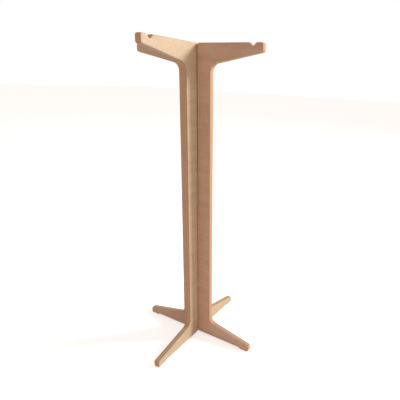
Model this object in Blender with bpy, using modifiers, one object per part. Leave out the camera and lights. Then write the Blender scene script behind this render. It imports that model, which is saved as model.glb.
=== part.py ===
"""Chime stand: two plywood panels that slot together at right angles.

Each panel is one flat outline, as thick as the plywood: an upright column, two tapered arms at the top with a
V notch near each tip, and two tapered feet at the bottom. The base panel has a slot from its top edge down to
mid height, the cross panel has one from its bottom edge up to mid height, and the cross panel drops over the
base panel from above.

Metres, +Z up. The origin is on the axis where the panels cross, at the floor. The base panel runs along X and
the cross panel along Y.
"""

import math

import bmesh
import bpy

# Plywood

PLY_THICKNESS = 0.009
ARRIS_RADIUS = 0.0018

# Column

HEIGHT = 0.450
COLUMN_WIDTH = 0.052
FILLET_RADIUS = 0.012

# Arms, measured from the axis and down from the top edge

ARM_REACH = 0.102
ARM_TIP_DEPTH = 0.011
ARM_ROOT_DEPTH = 0.0263

# Feet, measured from the axis and up from the floor

FOOT_REACH = 0.100
FOOT_TIP_HEIGHT = 0.010
FOOT_ROOT_HEIGHT = 0.0265
PAD_LENGTH = 0.015
ARCH_RISE = 0.002
ARCH_RAMP = 0.003
ARCH_RADIUS = 0.002

# Rounded corners of the arm tips and foot tips

TIP_RADIUS = 0.003

# Notches, centred this far in from the arm's tip

NOTCH_INSET = 0.0145
NOTCH_WIDTH = 0.010
NOTCH_HALF_ANGLE = math.radians(45)
NOTCH_RADIUS = 0.0018

# Halving slots, which meet at mid height

SLOT_CLEARANCE = 0.0003
SLOT_MEETING_HEIGHT = HEIGHT / 2
SLOT_END_RADIUS = 0.0015
MOUTH_RADIUS = 0.0035

# Fineness of the round stretches

ARC_STEP = math.radians(11.25)
ARRIS_SEGMENTS = 4
RIM_ANGLE = math.radians(60)
WELD_DISTANCE = 0.00001
FLAT_ANGLE = math.radians(0.5)

# Plywood colours

BASE_PANEL_COLOUR = (0.66, 0.47, 0.31, 1.0)
CROSS_PANEL_COLOUR = (0.74, 0.56, 0.38, 1.0)
PLY_ROUGHNESS = 0.62


def clear_scene():
    for obj in list(bpy.data.objects):
        bpy.data.objects.remove(obj, do_unlink=True)


def new_collection(name):
    collection = bpy.data.collections.new(name)
    bpy.context.scene.collection.children.link(collection)
    return collection


def plywood_material(name, colour):
    material = bpy.data.materials.new(name)
    material.use_nodes = True
    shader = material.node_tree.nodes["Principled BSDF"]
    shader.inputs["Base Color"].default_value = colour
    shader.inputs["Roughness"].default_value = PLY_ROUGHNESS
    shader.inputs["Metallic"].default_value = 0.0
    return material


def unit(vector):
    length = math.hypot(*vector)
    return (vector[0] / length, vector[1] / length)


def arc_at(before, corner, after, radius):
    """Points of the arc that is tangent to both sides of a corner. With a radius of 0 the corner stays a point."""
    if radius == 0:
        return [corner]
    back = unit((before[0] - corner[0], before[1] - corner[1]))
    ahead = unit((after[0] - corner[0], after[1] - corner[1]))
    half = math.acos(back[0] * ahead[0] + back[1] * ahead[1]) / 2
    middle = unit((back[0] + ahead[0], back[1] + ahead[1]))
    to_centre = radius / math.sin(half)
    centre = (corner[0] + middle[0] * to_centre, corner[1] + middle[1] * to_centre)
    to_tangent = radius / math.tan(half)
    start = (corner[0] + back[0] * to_tangent, corner[1] + back[1] * to_tangent)
    first = math.atan2(start[1] - centre[1], start[0] - centre[0])
    turn = math.pi - 2 * half
    if back[0] * ahead[1] - back[1] * ahead[0] > 0:
        turn = -turn
    steps = max(2, math.ceil(abs(turn) / ARC_STEP))
    angles = [first + turn * step / steps for step in range(steps + 1)]
    return [(centre[0] + radius * math.cos(a), centre[1] + radius * math.sin(a)) for a in angles]


def rounded_outline(corners):
    """The closed outline through corners given as (x, height, radius)."""
    points = []
    for index, (x, height, radius) in enumerate(corners):
        before = corners[index - 1][:2]
        after = corners[(index + 1) % len(corners)][:2]
        points += arc_at(before, (x, height), after, radius)
    return points


def right_side():
    """Corners of a panel's right side, from the arch under the foot to the notch in the arm."""
    column_face = COLUMN_WIDTH / 2
    pad_start = FOOT_REACH - PAD_LENGTH
    notch_centre = ARM_REACH - NOTCH_INSET
    notch_half = NOTCH_WIDTH / 2
    notch_apex = HEIGHT - notch_half / math.tan(NOTCH_HALF_ANGLE)
    return [
        (pad_start - ARCH_RAMP, ARCH_RISE, ARCH_RADIUS),
        (pad_start, 0.0, ARCH_RADIUS),
        (FOOT_REACH, 0.0, TIP_RADIUS),
        (FOOT_REACH, FOOT_TIP_HEIGHT, TIP_RADIUS),
        (column_face, FOOT_ROOT_HEIGHT, FILLET_RADIUS),
        (column_face, HEIGHT - ARM_ROOT_DEPTH, FILLET_RADIUS),
        (ARM_REACH, HEIGHT - ARM_TIP_DEPTH, TIP_RADIUS),
        (ARM_REACH, HEIGHT, TIP_RADIUS),
        (notch_centre + notch_half, HEIGHT, 0.0),
        (notch_centre, notch_apex, NOTCH_RADIUS),
        (notch_centre - notch_half, HEIGHT, 0.0),
    ]


def mirrored(corners):
    return [(-x, height, radius) for x, height, radius in reversed(corners)]


def base_panel_corners():
    """The panel's outline with its slot open at the top."""
    slot_half = PLY_THICKNESS / 2 + SLOT_CLEARANCE
    slot_end = SLOT_MEETING_HEIGHT - SLOT_CLEARANCE / 2
    right = right_side() + [
        (slot_half, HEIGHT, MOUTH_RADIUS),
        (slot_half, slot_end, SLOT_END_RADIUS),
    ]
    return right + mirrored(right)


def cross_panel_corners():
    """The panel's outline with its slot open at the bottom, in the arch between the feet."""
    slot_half = PLY_THICKNESS / 2 + SLOT_CLEARANCE
    slot_end = SLOT_MEETING_HEIGHT + SLOT_CLEARANCE / 2
    right = [
        (slot_half, slot_end, SLOT_END_RADIUS),
        (slot_half, ARCH_RISE, MOUTH_RADIUS),
    ] + right_side()
    return right + mirrored(right)


def flat_curve(name, points):
    """A filled 2D curve through the points, as thick as the plywood."""
    data = bpy.data.curves.new(name, "CURVE")
    data.dimensions = "2D"
    data.fill_mode = "BOTH"
    data.extrude = PLY_THICKNESS / 2
    spline = data.splines.new("POLY")
    spline.points.add(len(points) - 1)
    for point, (x, height) in zip(spline.points, points):
        point.co = (x, height, 0.0, 1.0)
    spline.use_cyclic_u = True
    return bpy.data.objects.new(name, data)


def mesh_of(curve, collection):
    """The curve's mesh, with its caps welded to its edge and each cap made one flat face."""
    name = curve.name
    collection.objects.link(curve)
    evaluated = curve.evaluated_get(bpy.context.evaluated_depsgraph_get())
    mesh = bpy.data.meshes.new_from_object(evaluated)
    bpy.data.objects.remove(curve, do_unlink=True)
    shape = bmesh.new()
    shape.from_mesh(mesh)
    bmesh.ops.remove_doubles(shape, verts=shape.verts, dist=WELD_DISTANCE)
    bmesh.ops.dissolve_limit(shape, angle_limit=FLAT_ANGLE, verts=shape.verts, edges=shape.edges)
    bmesh.ops.recalc_face_normals(shape, faces=shape.faces)
    shape.to_mesh(mesh)
    shape.free()
    mesh.shade_smooth()
    panel = bpy.data.objects.new(name, mesh)
    collection.objects.link(panel)
    return panel


def round_arrises(panel):
    """Rounds the edges along both faces, and leaves the edges that run through the thickness."""
    bevel = panel.modifiers.new("arrises", "BEVEL")
    bevel.limit_method = "ANGLE"
    bevel.angle_limit = RIM_ANGLE
    bevel.width = ARRIS_RADIUS
    bevel.segments = ARRIS_SEGMENTS


def make_panel(name, corners, turn, colour, collection):
    """A panel that stands upright on the floor, turned about the stand's axis."""
    panel = mesh_of(flat_curve(name, rounded_outline(corners)), collection)
    round_arrises(panel)
    panel.rotation_euler = (math.radians(90), 0.0, turn)
    panel.data.materials.append(plywood_material(name + "_plywood", colour))
    return panel


def make_stand():
    collection = new_collection("chime_stand")
    make_panel("base_panel", base_panel_corners(), 0.0, BASE_PANEL_COLOUR, collection)
    cross = make_panel("cross_panel", cross_panel_corners(), math.radians(90), CROSS_PANEL_COLOUR, collection)
    lift_axis = bpy.data.objects.new("panel_lift_axis", None)
    lift_axis.location = (0.0, 0.0, SLOT_MEETING_HEIGHT)
    collection.objects.link(lift_axis)
    cross.parent = lift_axis
    cross.location = (0.0, 0.0, -SLOT_MEETING_HEIGHT)


clear_scene()
make_stand()
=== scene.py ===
"""Chime stand: two birch plywood panels that cross at right angles, each with two notched arms and two feet.

Each panel is an outline in its own plane, with its edges rounded over towards both faces. Its material works
out the plies from the depth inside the board, and the long grain or end grain from the way the surface faces.
"""

import math

import bpy
import numpy as np
from mathutils import Matrix, Vector


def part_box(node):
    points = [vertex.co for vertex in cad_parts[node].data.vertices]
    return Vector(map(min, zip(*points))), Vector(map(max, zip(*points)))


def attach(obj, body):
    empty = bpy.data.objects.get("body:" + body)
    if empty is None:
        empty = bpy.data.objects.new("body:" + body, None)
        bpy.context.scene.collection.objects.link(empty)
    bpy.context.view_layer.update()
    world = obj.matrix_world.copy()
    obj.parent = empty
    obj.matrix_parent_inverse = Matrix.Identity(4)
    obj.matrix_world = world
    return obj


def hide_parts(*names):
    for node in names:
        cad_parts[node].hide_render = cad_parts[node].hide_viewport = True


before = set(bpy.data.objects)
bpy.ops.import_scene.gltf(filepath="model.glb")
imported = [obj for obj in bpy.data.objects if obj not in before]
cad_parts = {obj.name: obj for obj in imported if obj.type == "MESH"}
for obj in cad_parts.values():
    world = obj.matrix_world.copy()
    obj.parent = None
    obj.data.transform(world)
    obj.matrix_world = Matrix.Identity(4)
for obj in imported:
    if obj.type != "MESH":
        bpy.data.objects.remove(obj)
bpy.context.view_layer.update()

# Panel sizes in metres, from the frame where it gives them

BASE_LOW, BASE_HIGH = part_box("base_panel")
HEIGHT = float(BASE_HIGH[2])
THICKNESS = float(BASE_HIGH[1] - BASE_LOW[1])
ARM_REACH = float(BASE_HIGH[0])
ARRIS_RADIUS = 0.0018
COLUMN_HALF = 0.026
FILLET_RADIUS = 0.012
ARM_TIP_DEPTH = 0.011
ARM_ROOT_DEPTH = 0.0263
FOOT_REACH = 0.100
FOOT_TIP_HEIGHT = 0.010
FOOT_ROOT_HEIGHT = 0.0265
PAD_LENGTH = 0.015
ARCH_RISE = 0.002
ARCH_RAMP = 0.003
ARCH_RADIUS = 0.002
TIP_RADIUS = 0.003
NOTCH_INSET = 0.0145
NOTCH_HALF_WIDTH = 0.005
NOTCH_RADIUS = 0.0018
SLOT_CLEARANCE = 0.0003
SLOT_END_RADIUS = 0.0015
MOUTH_RADIUS = 0.0035

# Fineness of the meshes

ARC_STEP = math.radians(6)
ARRIS_STEPS = 8
EDGE_ROWS = 6
FACE_MARGIN = 0.00015
SHARP_ANGLE = math.radians(28)

# The board: five plies, as distances from its middle plane to the two glue lines on each side

CORE_HALF = 0.0010
CROSS_BAND_OUT = 0.0025
GLUE_HALF = 0.00007
GLUE_BLUR = 0.00006


def corner_arc(before, corner, after, radius):
    """Points on the circle tangent to both sides of a corner: its centre lies on the corner's bisector at
    radius / sin(half the corner's angle), and the arc turns by half a turn less the corner's angle."""
    corner = np.array(corner)
    if radius == 0:
        return corner[None, :]
    back = np.array(before) - corner
    back /= np.linalg.norm(back)
    ahead = np.array(after) - corner
    ahead /= np.linalg.norm(ahead)
    half = math.acos(float(back @ ahead)) / 2
    middle = (back + ahead) / np.linalg.norm(back + ahead)
    centre = corner + middle * radius / math.sin(half)
    start = corner + back * radius / math.tan(half) - centre
    turn = math.pi - 2 * half
    if back[0] * ahead[1] - back[1] * ahead[0] > 0:
        turn = -turn
    steps = max(2, math.ceil(abs(turn) / ARC_STEP))
    angles = math.atan2(start[1], start[0]) + np.linspace(0.0, turn, steps + 1)
    return centre + radius * np.stack([np.cos(angles), np.sin(angles)], axis=1)


def rounded_outline(corners):
    """The closed outline through corners given as (along, height, radius), anticlockwise."""
    arcs = [
        corner_arc(corners[i - 1][:2], corners[i][:2], corners[(i + 1) % len(corners)][:2], corners[i][2])
        for i in range(len(corners))
    ]
    return np.concatenate(arcs)


def right_side():
    """Corners of a panel's right side, from the arch under the foot to the notch in the arm."""
    pad_start = FOOT_REACH - PAD_LENGTH
    notch = ARM_REACH - NOTCH_INSET
    return [
        (pad_start - ARCH_RAMP, ARCH_RISE, ARCH_RADIUS),
        (pad_start, 0.0, ARCH_RADIUS),
        (FOOT_REACH, 0.0, TIP_RADIUS),
        (FOOT_REACH, FOOT_TIP_HEIGHT, TIP_RADIUS),
        (COLUMN_HALF, FOOT_ROOT_HEIGHT, FILLET_RADIUS),
        (COLUMN_HALF, HEIGHT - ARM_ROOT_DEPTH, FILLET_RADIUS),
        (ARM_REACH, HEIGHT - ARM_TIP_DEPTH, TIP_RADIUS),
        (ARM_REACH, HEIGHT, TIP_RADIUS),
        (notch + NOTCH_HALF_WIDTH, HEIGHT, 0.0),
        (notch, HEIGHT - NOTCH_HALF_WIDTH, NOTCH_RADIUS),
        (notch - NOTCH_HALF_WIDTH, HEIGHT, 0.0),
    ]


def panel_outline(slot_from_top):
    """The I-shaped outline with its halving slot, open at the top or at the bottom."""
    slot_half = THICKNESS / 2 + SLOT_CLEARANCE
    if slot_from_top:
        slot = [
            (slot_half, HEIGHT, MOUTH_RADIUS),
            (slot_half, (HEIGHT - SLOT_CLEARANCE) / 2, SLOT_END_RADIUS),
        ]
        right = right_side() + slot
    else:
        slot = [
            (slot_half, (HEIGHT + SLOT_CLEARANCE) / 2, SLOT_END_RADIUS),
            (slot_half, ARCH_RISE, MOUTH_RADIUS),
        ]
        right = slot + right_side()
    return rounded_outline(right + [(-along, height, radius) for along, height, radius in reversed(right)])


def inward_offsets(outline):
    """For each point, the step that moves it in by one unit from both of its sides: the sum of the sides'
    inward normals over one plus their dot product."""
    ahead = np.roll(outline, -1, axis=0) - outline
    ahead /= np.linalg.norm(ahead, axis=1, keepdims=True)
    normal = np.stack([-ahead[:, 1], ahead[:, 0]], axis=1)
    before = np.roll(normal, 1, axis=0)
    return (normal + before) / (1 + np.sum(normal * before, axis=1, keepdims=True))


def edge_profile():
    """Inset and depth across a panel's edge, from one face to the other: a quarter round of the arris radius,
    a straight edge and a quarter round back, with a narrow flat margin on each face."""
    sweep = np.linspace(0.0, math.pi / 2, ARRIS_STEPS + 1)
    inset = ARRIS_RADIUS * (1 - np.sin(sweep))
    depth = THICKNESS / 2 - ARRIS_RADIUS * (1 - np.cos(sweep))
    edge = np.linspace(depth[-1], -depth[-1], EDGE_ROWS + 1)[1:-1]
    inset = np.concatenate([[ARRIS_RADIUS + FACE_MARGIN], inset, np.zeros(len(edge)), inset[::-1]])
    inset = np.append(inset, ARRIS_RADIUS + FACE_MARGIN)
    depth = np.concatenate([[THICKNESS / 2], depth, edge, -depth[::-1], [-THICKNESS / 2]])
    return inset, depth


def panel_mesh(name, outline, across_x):
    """Rings of the outline, each moved in by the profile's inset and out to its depth, joined by quads and
    closed by one flat face on each side. across_x turns the panel a quarter turn, to lie along Y."""
    inset, depth = edge_profile()
    rows = len(inset)
    count = len(outline)
    flat = outline[None, :, :] + inset[:, None, None] * inward_offsets(outline)[None, :, :]
    deep = np.broadcast_to(depth[:, None], (rows, count))
    if across_x:
        points = np.stack([-deep, flat[:, :, 0], flat[:, :, 1]], axis=2)
    else:
        points = np.stack([flat[:, :, 0], deep, flat[:, :, 1]], axis=2)
    index = np.arange(rows * count).reshape(rows, count)
    right = np.roll(index, -1, axis=1)
    quads = np.stack([index[:-1], right[:-1], right[1:], index[1:]], axis=2).reshape(-1, 4)
    faces = quads.tolist() + [index[0][::-1].tolist(), index[-1].tolist()]
    mesh = bpy.data.meshes.new(name)
    mesh.from_pydata(points.reshape(-1, 3).tolist(), [], faces)
    mesh.shade_smooth()
    mesh.set_sharp_from_angle(angle=SHARP_ANGLE)
    return mesh


class Nodes:
    """A material's or world's node tree, with short calls for the nodes used here."""

    def __init__(self, tree):
        self.tree = tree
        tree.nodes.clear()

    def add(self, kind, **settings):
        node = self.tree.nodes.new(kind)
        for key, value in settings.items():
            setattr(node, key, value)
        return node

    def feed(self, value, socket):
        if isinstance(value, bpy.types.NodeSocket):
            self.tree.links.new(value, socket)
        else:
            socket.default_value = value

    def math(self, operation, *values):
        node = self.add("ShaderNodeMath", operation=operation)
        for value, socket in zip(values, node.inputs):
            self.feed(value, socket)
        return node.outputs[0]

    def ramp(self, value, low, high, to_low=0.0, to_high=1.0):
        """A smooth step from to_low to to_high as value goes from low to high."""
        node = self.add("ShaderNodeMapRange", interpolation_type="SMOOTHSTEP")
        for item, socket in zip((value, low, high, to_low, to_high), node.inputs):
            self.feed(item, socket)
        return node.outputs[0]

    def join(self, x, y, z):
        node = self.add("ShaderNodeCombineXYZ")
        for value, socket in zip((x, y, z), node.inputs):
            self.feed(value, socket)
        return node.outputs[0]

    def split(self, vector):
        node = self.add("ShaderNodeSeparateXYZ")
        self.feed(vector, node.inputs[0])
        return node.outputs[0], node.outputs[1], node.outputs[2]

    def noise(self, vector, scale, detail, roughness=0.5, seed=0.0):
        node = self.add("ShaderNodeTexNoise", noise_dimensions="4D")
        self.feed(vector, node.inputs["Vector"])
        self.feed(seed, node.inputs["W"])
        node.inputs["Scale"].default_value = scale
        node.inputs["Detail"].default_value = detail
        node.inputs["Roughness"].default_value = roughness
        return node.outputs["Fac"]

    def mix(self, factor, first, second, blend="MIX"):
        node = self.add("ShaderNodeMix", data_type="RGBA", blend_type=blend)
        self.feed(factor, node.inputs[0])
        self.feed(first, node.inputs[6])
        self.feed(second, node.inputs[7])
        return node.outputs[2]


# Plywood colours, linear

VENEER_LIGHT = (0.77, 0.60, 0.41, 1.0)
VENEER_DARK = (0.60, 0.415, 0.255, 1.0)
BAND_END_LIGHT = (0.34, 0.185, 0.090, 1.0)
BAND_END_DARK = (0.20, 0.100, 0.048, 1.0)
SIDE_END_LIGHT = (0.78, 0.42, 0.225, 1.0)
SIDE_END_DARK = (0.58, 0.275, 0.14, 1.0)
GLUE_COLOUR = (0.20, 0.105, 0.055, 1.0)
ARRIS_BAND_COLOUR = (0.33, 0.19, 0.11, 1.0)

# How much of each colour shows

BAND_END_UP = 0.95
BAND_END_SIDE = 0.60
LYING_END_SIDE = 0.80
GLUE_SHOW = 0.7
ARRIS_BAND_SHOW = 0.30
TONE_SHARE = 0.5
FIBRE_SHARE = 0.28
RIPPLE_SHARE = 0.22

# Where each smooth step starts and ends

FACING_STEP = (0.25, 0.85)
ARRIS_FROM_EDGE = (0.05, 0.4)
ARRIS_FROM_FACE = (0.97, 0.8)
TONE_STEP = (0.3, 0.72)
FIBRE_STEP = (0.3, 0.7)
RIPPLE_STEP = (0.35, 0.65)
SPECKLE_STEP = (0.3, 0.7)
ROUGHNESS_STEP = (0.2, 0.8)

# Grain, in features per metre across and along the fibres

TONE_ACROSS = 95.0
TONE_ALONG = 7.0
FIBRE_ACROSS = 900.0
FIBRE_ALONG = 45.0
RIPPLE_ACROSS = 110.0
RIPPLE_ALONG = 480.0
END_SCALE = 1100.0
PLY_WAVE_SCALE = 28.0

# Relief and sheen, with the lengths in metres

PLY_WAVE = 0.00022
GRAIN_DEPTH = 0.00012
BUMP_STRENGTH = 0.35
FINISH_IOR = 1.46
ROUGHNESS_LOW = 0.52
ROUGHNESS_HIGH = 0.70

# What differs between the two panels, and the step in the noise seed from one kind of ply to the other

BASE_TURN = 0.0
BASE_SEED = 2.3
# Painted shade: the base panel's face plies are tinted redder and darker; the cross panel's tint is white
BASE_FACE_SHADE_TINT = (1.0, 0.85, 0.86, 1.0)
CROSS_TURN = math.radians(-90)
CROSS_SEED = 41.9
CROSS_FACE_SHADE_TINT = (1.0, 1.0, 1.0, 1.0)
BAND_SEED = 3.7


def birch_plywood(name, turn, seed, face_shade_tint):
    """Birch plywood. The depth in the board gives the ply, each ply's grain lies at right angles to the next,
    and a surface that cuts across a ply's grain shows its end grain. turn brings the panel's length onto X,
    and face_shade_tint multiplies the colour of the two face plies: painted shade, which makes the base
    panel's faces redder and darker."""
    material = bpy.data.materials.new(name)
    material.use_nodes = True
    nodes = Nodes(material.node_tree)
    place = nodes.add("ShaderNodeTexCoord")
    turned = nodes.add("ShaderNodeMapping")
    turned.inputs["Rotation"].default_value = (0.0, 0.0, turn)
    nodes.feed(place.outputs["Object"], turned.inputs["Vector"])
    facing = nodes.add("ShaderNodeMapping")
    facing.inputs["Rotation"].default_value = (0.0, 0.0, turn)
    nodes.feed(place.outputs["Normal"], facing.inputs["Vector"])
    along, depth, height = nodes.split(turned.outputs[0])
    face_along, face_out, face_up = nodes.split(facing.outputs[0])
    flatness = nodes.math("ABSOLUTE", face_out)

    # Which ply the surface lies in: the core, a cross band or a face ply

    wave = nodes.noise(nodes.join(along, 0.0, height), PLY_WAVE_SCALE, detail=2.0, seed=seed)
    bent = nodes.math("MULTIPLY_ADD", wave, PLY_WAVE, -PLY_WAVE / 2)
    from_middle = nodes.math("ADD", nodes.math("ABSOLUTE", depth), bent)
    past_core = nodes.ramp(from_middle, CORE_HALF - GLUE_BLUR, CORE_HALF + GLUE_BLUR)
    in_face = nodes.ramp(from_middle, CROSS_BAND_OUT - GLUE_BLUR, CROSS_BAND_OUT + GLUE_BLUR)
    crossed = nodes.math("SUBTRACT", past_core, in_face)
    from_glue = nodes.math(
        "MINIMUM",
        nodes.math("ABSOLUTE", nodes.math("SUBTRACT", from_middle, CORE_HALF)),
        nodes.math("ABSOLUTE", nodes.math("SUBTRACT", from_middle, CROSS_BAND_OUT)),
    )
    glue = nodes.ramp(from_glue, GLUE_HALF, GLUE_HALF + GLUE_BLUR, 1.0, 0.0)

    # Long grain or end grain: the cross bands stand upright and the other plies lie along the panel

    up = nodes.ramp(nodes.math("ABSOLUTE", face_up), *FACING_STEP)
    side = nodes.ramp(nodes.math("ABSOLUTE", face_along), *FACING_STEP)
    band_end = nodes.math("MULTIPLY_ADD", up, BAND_END_UP, nodes.math("MULTIPLY", side, BAND_END_SIDE))
    lying_end = nodes.math("MULTIPLY", side, LYING_END_SIDE)
    end = nodes.math("MULTIPLY", crossed, band_end)
    end = nodes.math("MULTIPLY_ADD", nodes.math("SUBTRACT", 1.0, crossed), lying_end, end)

    def grain_space(cross_scale, long_scale):
        """Object space stretched along the fibres, upright in the cross bands and level elsewhere."""
        scale_along = nodes.math("MULTIPLY_ADD", crossed, cross_scale - long_scale, long_scale)
        scale_up = nodes.math("MULTIPLY_ADD", crossed, long_scale - cross_scale, cross_scale)
        return nodes.join(
            nodes.math("MULTIPLY", along, scale_along),
            nodes.math("MULTIPLY", depth, cross_scale),
            nodes.math("MULTIPLY", height, scale_up),
        )

    ply_seed = nodes.math("MULTIPLY_ADD", crossed, BAND_SEED, seed)
    tone_space = grain_space(TONE_ACROSS, TONE_ALONG)
    tone = nodes.noise(tone_space, 1.0, detail=3.0, roughness=0.55, seed=ply_seed)
    fibre_space = grain_space(FIBRE_ACROSS, FIBRE_ALONG)
    fibre = nodes.noise(fibre_space, 1.0, detail=2.0, roughness=0.6, seed=ply_seed)
    ripple_space = grain_space(RIPPLE_ACROSS, RIPPLE_ALONG)
    ripple = nodes.noise(ripple_space, 1.0, detail=2.0, roughness=0.5, seed=ply_seed)
    speckle = nodes.noise(place.outputs["Object"], END_SCALE, detail=3.0, roughness=0.6, seed=ply_seed)

    # Colour: veneer, end grain where the grain is cut, then glue lines and a darker band along the rounded
    # arrises

    shade = nodes.math("MULTIPLY", nodes.ramp(tone, *TONE_STEP), TONE_SHARE)
    shade = nodes.math("MULTIPLY_ADD", nodes.ramp(fibre, *FIBRE_STEP), FIBRE_SHARE, shade)
    shade = nodes.math("MULTIPLY_ADD", nodes.ramp(ripple, *RIPPLE_STEP), RIPPLE_SHARE, shade)
    veneer = nodes.mix(shade, VENEER_LIGHT, VENEER_DARK)
    mottle = nodes.ramp(speckle, *SPECKLE_STEP)
    band_grain = nodes.mix(mottle, BAND_END_LIGHT, BAND_END_DARK)
    side_grain = nodes.mix(mottle, SIDE_END_LIGHT, SIDE_END_DARK)
    end_grain = nodes.mix(side, band_grain, side_grain)
    # Painted shade: the face plies are multiplied by the panel's shade tint, redder and darker on the base
    # panel
    veneer = nodes.mix(in_face, veneer, nodes.mix(1.0, veneer, face_shade_tint, blend="MULTIPLY"))
    wood = nodes.mix(end, veneer, end_grain)
    wood = nodes.mix(nodes.math("MULTIPLY", glue, GLUE_SHOW), wood, GLUE_COLOUR)
    # A darker band along the rounded arrises, the same on every edge whichever way it faces
    past_edge = nodes.ramp(flatness, *ARRIS_FROM_EDGE)
    arris = nodes.math("MULTIPLY", past_edge, nodes.ramp(flatness, *ARRIS_FROM_FACE))
    wood = nodes.mix(nodes.math("MULTIPLY", arris, ARRIS_BAND_SHOW), wood, ARRIS_BAND_COLOUR)

    # Relief and sheen

    relief = nodes.math("MULTIPLY_ADD", speckle, end, fibre)
    relief = nodes.math("SUBTRACT", relief, glue)
    bump = nodes.add("ShaderNodeBump")
    bump.inputs["Strength"].default_value = BUMP_STRENGTH
    bump.inputs["Distance"].default_value = GRAIN_DEPTH
    nodes.feed(relief, bump.inputs["Height"])

    shader = nodes.add("ShaderNodeBsdfPrincipled")
    shader.inputs["IOR"].default_value = FINISH_IOR
    nodes.feed(wood, shader.inputs["Base Color"])
    roughness = nodes.ramp(fibre, *ROUGHNESS_STEP, ROUGHNESS_LOW, ROUGHNESS_HIGH)
    nodes.feed(roughness, shader.inputs["Roughness"])
    nodes.feed(bump.outputs[0], shader.inputs["Normal"])
    output = nodes.add("ShaderNodeOutputMaterial")
    nodes.feed(shader.outputs[0], output.inputs[0])
    return material


def dress_panel(name, node, body, material, slot_from_top, across_x):
    """Shows one panel of the frame, in its own body and material slot."""
    piece = bpy.data.objects.new(name, panel_mesh(name, panel_outline(slot_from_top), across_x))
    bpy.context.scene.collection.objects.link(piece)
    piece.data.materials.append(material)
    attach(piece, body)
    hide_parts(node)


# Stage

FLOOR_HALF = 12.0
FLOOR_COLOUR = (0.80, 0.80, 0.80, 1.0)
FLOOR_GLOW = 0.62
WORLD_COLOUR = (1.0, 0.86, 0.78, 1.0)
WORLD_STRENGTH = 0.49
WHITE = (1.0, 1.0, 1.0, 1.0)
KEY_DIRECTION = Vector((1.2, 1.05, 0.95)).normalized()
KEY_DISTANCE = 2.2
KEY_SIZE = 0.55
KEY_POWER = 40.0
STAND_MIDDLE = Vector((0.0, 0.0, HEIGHT / 2))


def seen_directly(nodes):
    """One for the rays that show the stage itself: camera, glossy and transmission rays."""
    path = nodes.add("ShaderNodeLightPath")
    seen = nodes.math("MAXIMUM", path.outputs["Is Camera Ray"], path.outputs["Is Glossy Ray"])
    return nodes.math("MAXIMUM", seen, path.outputs["Is Transmission Ray"])


def floor():
    """A pale matt floor that keeps the stand's shadow, brightened where it is seen directly."""
    corners = np.array([[-1, -1, 0], [1, -1, 0], [1, 1, 0], [-1, 1, 0]]) * FLOOR_HALF
    mesh = bpy.data.meshes.new("floor")
    mesh.from_pydata(corners.tolist(), [], [[0, 1, 2, 3]])
    piece = bpy.data.objects.new("floor", mesh)
    bpy.context.scene.collection.objects.link(piece)
    material = bpy.data.materials.new("pale_floor")
    material.use_nodes = True
    nodes = Nodes(material.node_tree)
    matt = nodes.add("ShaderNodeBsdfDiffuse")
    matt.inputs["Color"].default_value = FLOOR_COLOUR
    glow = nodes.add("ShaderNodeEmission")
    nodes.feed(nodes.math("MULTIPLY", seen_directly(nodes), FLOOR_GLOW), glow.inputs["Strength"])
    both = nodes.add("ShaderNodeAddShader")
    nodes.feed(matt.outputs[0], both.inputs[0])
    nodes.feed(glow.outputs[0], both.inputs[1])
    output = nodes.add("ShaderNodeOutputMaterial")
    nodes.feed(both.outputs[0], output.inputs[0])
    mesh.materials.append(material)


def studio_world():
    """White where the camera sees it, and a soft, slightly warm fill on the stand."""
    world = bpy.data.worlds.new("studio")
    world.use_nodes = True
    bpy.context.scene.world = world
    nodes = Nodes(world.node_tree)
    fill = nodes.add("ShaderNodeBackground")
    fill.inputs["Color"].default_value = WORLD_COLOUR
    fill.inputs["Strength"].default_value = WORLD_STRENGTH
    white = nodes.add("ShaderNodeBackground")
    white.inputs["Color"].default_value = WHITE
    choice = nodes.add("ShaderNodeMixShader")
    nodes.feed(seen_directly(nodes), choice.inputs[0])
    nodes.feed(fill.outputs[0], choice.inputs[1])
    nodes.feed(white.outputs[0], choice.inputs[2])
    output = nodes.add("ShaderNodeOutputWorld")
    nodes.feed(choice.outputs[0], output.inputs[0])


def aimed(direction, place):
    """A matrix at place whose -Z points along direction."""
    turn = Vector(direction).to_track_quat("-Z", "Y").to_matrix().to_4x4()
    return Matrix.Translation(place) @ turn


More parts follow.
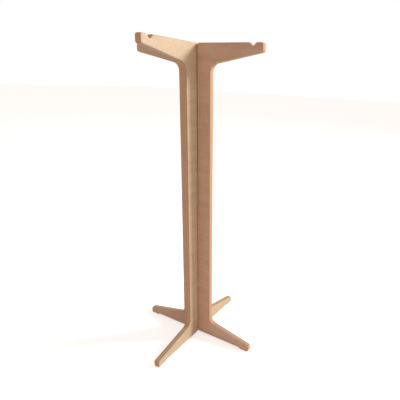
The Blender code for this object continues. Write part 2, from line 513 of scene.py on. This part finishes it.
def key_light():
    """A soft square light from behind on the right, above the stand."""
    data = bpy.data.lights.new("key", "AREA")
    data.shape = "SQUARE"
    data.size = KEY_SIZE
    data.energy = KEY_POWER
    light = bpy.data.objects.new("key", data)
    light.matrix_world = aimed(-KEY_DIRECTION, STAND_MIDDLE + KEY_DIRECTION * KEY_DISTANCE)
    bpy.context.scene.collection.objects.link(light)


# Camera, with its principal point right of the frame's centre in pixels of the 400 x 400 frame

FRAME_PIXELS = 400
PRINCIPAL_X = 257.0
FOCAL_PIXELS = 355.65
CAMERA_PLACE = Vector((0.31236, -0.40883, 0.40444))
CAMERA_HEADING = math.radians(207.282 - 90.0)
CAMERA_PITCH = math.radians(18.278)
CAMERA_ROLL = math.radians(2.738)
SENSOR_WIDTH = 36.0
CLIP_START = 0.01


def photo_camera():
    """Looks along the heading and down by the pitch, rolled about its own axis."""
    level = math.cos(CAMERA_PITCH)
    ahead = Vector(
        (math.cos(CAMERA_HEADING) * level, math.sin(CAMERA_HEADING) * level, -math.sin(CAMERA_PITCH))
    )
    right = ahead.cross(Vector((0.0, 0.0, 1.0))).normalized()
    up = right.cross(ahead)
    rolled_right = right * math.cos(CAMERA_ROLL) + up * math.sin(CAMERA_ROLL)
    rolled_up = up * math.cos(CAMERA_ROLL) - right * math.sin(CAMERA_ROLL)
    data = bpy.data.cameras.new("camera")
    data.sensor_width = SENSOR_WIDTH
    data.lens = SENSOR_WIDTH * FOCAL_PIXELS / FRAME_PIXELS
    data.shift_x = (FRAME_PIXELS / 2 - PRINCIPAL_X) / FRAME_PIXELS
    data.clip_start = CLIP_START
    camera = bpy.data.objects.new("camera", data)
    axes = Matrix((rolled_right, rolled_up, -ahead)).transposed().to_4x4()
    camera.matrix_world = Matrix.Translation(CAMERA_PLACE) @ axes
    bpy.context.scene.collection.objects.link(camera)
    bpy.context.scene.camera = camera


# The stand and its stage

base_birch = birch_plywood("base_birch", BASE_TURN, BASE_SEED, BASE_FACE_SHADE_TINT)
dress_panel("base_board", "base_panel", "base", base_birch, slot_from_top=True, across_x=False)
cross_birch = birch_plywood("cross_birch", CROSS_TURN, CROSS_SEED, CROSS_FACE_SHADE_TINT)
dress_panel("cross_board", "cross_panel", "cross", cross_birch, slot_from_top=False, across_x=True)
floor()
studio_world()
key_light()
photo_camera()
bpy.context.scene.view_settings.view_transform = "Standard"
